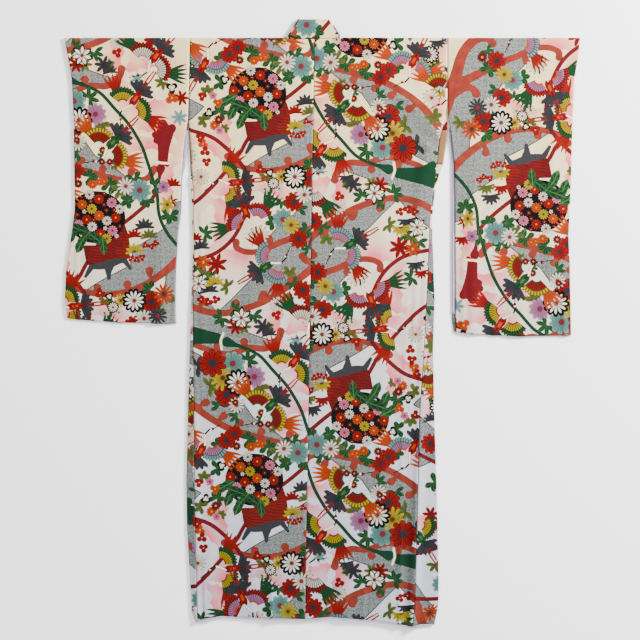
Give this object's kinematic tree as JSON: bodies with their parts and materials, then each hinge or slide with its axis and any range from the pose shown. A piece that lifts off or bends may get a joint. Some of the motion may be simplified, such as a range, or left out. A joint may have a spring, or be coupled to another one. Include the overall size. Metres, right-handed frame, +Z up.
{
  "type": "kimono",
  "caption": "Woman's lined kimono spread flat with its back upwards: sleeve bags, straight body panels, overlap panels and a band collar.",
  "frame": {"origin": "centre of the garment's bounding box on the surface that it lies on", "axes": "+X from the left sleeve to the right sleeve as seen from above, +Y from the hem to the collar, +Z up from the surface through the cloth to the back of the garment"},
  "size_m": [1.2622, 1.4897, 0.0124],
  "materials": {
    "printed_silk": "printed crepe silk, cream ground with many coloured flowers, cranes and mist bands, soft low sheen",
    "lavender_lining": "plain smooth lining, pale lavender",
    "tan_lining": "plain inside of the front in shade, tan"
  },
  "bodies": {
    "root": {"body_left": "printed_silk", "body_right": "printed_silk", "okumi_left": "printed_silk", "okumi_right": "printed_silk", "collar": "printed_silk", "sleeve_left": "printed_silk", "sleeve_right": "printed_silk", "sleeve_lining_left": "lavender_lining", "sleeve_lining_right": "lavender_lining", "hem_lining_left": "lavender_lining", "hem_lining_right": "lavender_lining", "front_lining_left": "tan_lining", "front_lining_right": "tan_lining"}
  },
  "joints": []
}
